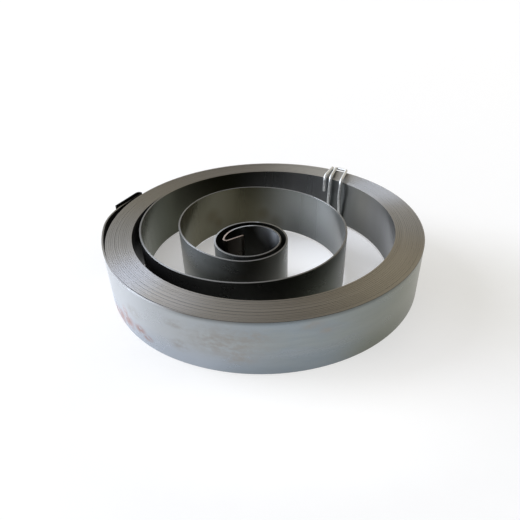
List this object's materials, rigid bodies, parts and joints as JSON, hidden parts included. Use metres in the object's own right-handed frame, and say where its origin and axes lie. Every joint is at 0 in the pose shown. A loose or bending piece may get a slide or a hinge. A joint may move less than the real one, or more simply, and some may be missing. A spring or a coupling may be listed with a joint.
{
  "type": "reel mainspring",
  "caption": "flat steel strip coiled edge-on into a packed ring with open inner turns, a folded hook at each end and a wire tie; drives a spring-rewound reel",
  "frame": {"origin": "on the axis of the packed ring, at the level of the surface that the spring lies on", "axes": "+Z is the coil's axis, up from that surface; +X runs across the ring from the side of the outer hook; +Y completes a right-handed frame"},
  "size_m": [0.1519, 0.149, 0.0298],
  "materials": {
    "spring_steel": "hardened and tempered strip, blue-grey oxide with brown oil tint on the edges and a few rust stains",
    "galvanised_wire": "bright galvanised iron wire, slightly dulled"
  },
  "bodies": {
    "root": {"mainspring_strip": "spring_steel", "tie_wire": "galvanised_wire"}
  },
  "joints": []
}
